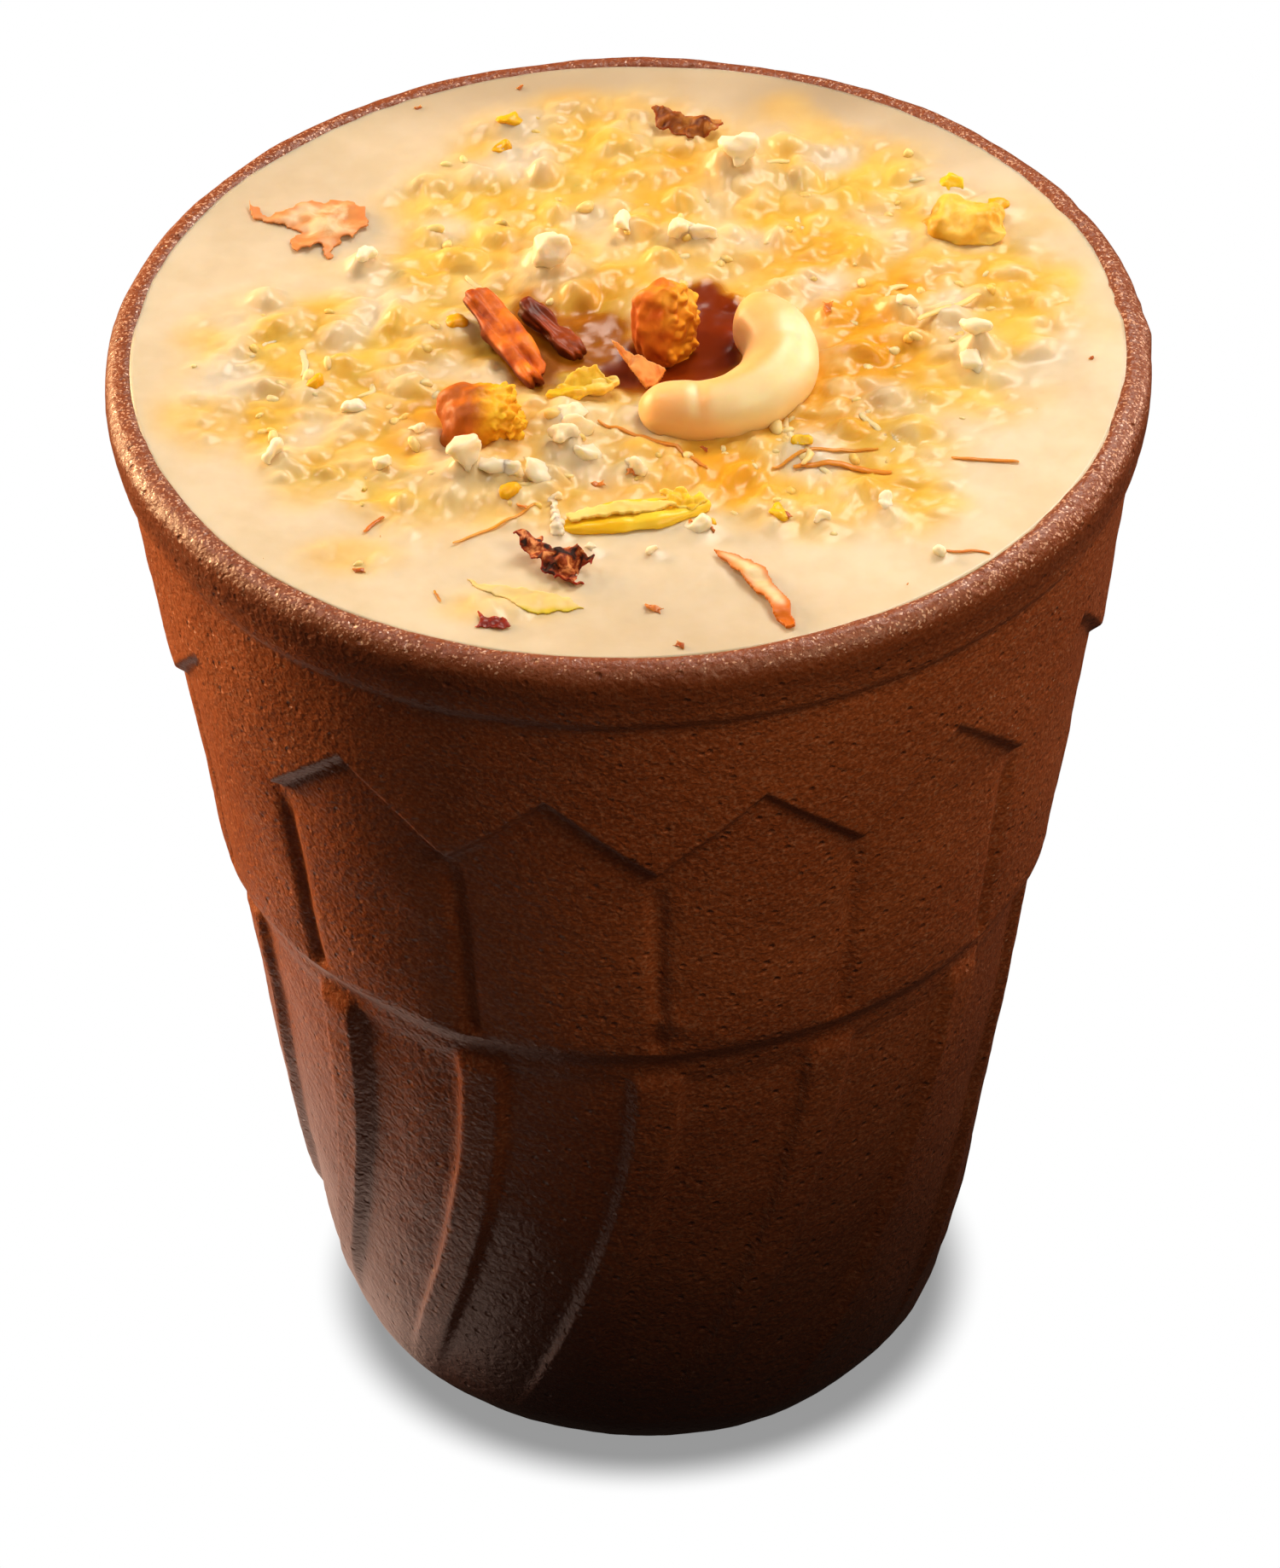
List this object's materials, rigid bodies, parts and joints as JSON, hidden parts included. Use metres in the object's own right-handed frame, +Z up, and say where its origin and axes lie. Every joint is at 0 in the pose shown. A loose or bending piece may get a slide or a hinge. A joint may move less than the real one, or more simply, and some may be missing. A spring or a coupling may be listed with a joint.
{
  "type": "clay cup of lassi",
  "caption": "Moulded clay tumbler with a zigzag band and bent ribs, filled to its lip with thick yoghurt drink and topped with a cashew, chopped nuts, dried fruit and petals.",
  "frame": {"origin": "on the surface it stands on, under the middle of the rim", "axes": "+Z up along the cup's axis, -Y towards the front, +X to the viewer's right"},
  "size_m": [0.08, 0.08, 0.098],
  "materials": {
    "clay": "unglazed fired clay, fine-grained, slightly burnished",
    "drink": "thick wet cream with chopped nuts",
    "cashew": "smooth, faintly oily nut",
    "dried_fruit": "moist, granular",
    "yellow_fruit": "moist, granular",
    "nut_skin": "fibrous, wet",
    "almond": "cut nut with brown skin at its edge",
    "pistachio": "smooth, wet",
    "fruit_flake": "wrinkled, moist",
    "petal": "dry and wrinkled"
  },
  "bodies": {
    "root": {"cup": "clay", "lassi": "drink", "cashew": "cashew", "fruit_piece_back": "dried_fruit", "fruit_piece_front": "dried_fruit", "fruit_lump_right": "yellow_fruit", "nut_stick_long": "nut_skin", "nut_stick_short": "nut_skin", "almond_chip": "almond", "almond_flake_front": "almond", "pistachio_sliver_middle": "pistachio", "pistachio_sliver_long": "pistachio", "pistachio_sliver_pale": "pistachio", "fruit_flake_back": "fruit_flake", "petal_front": "petal", "petal_back": "petal"}
  },
  "joints": []
}
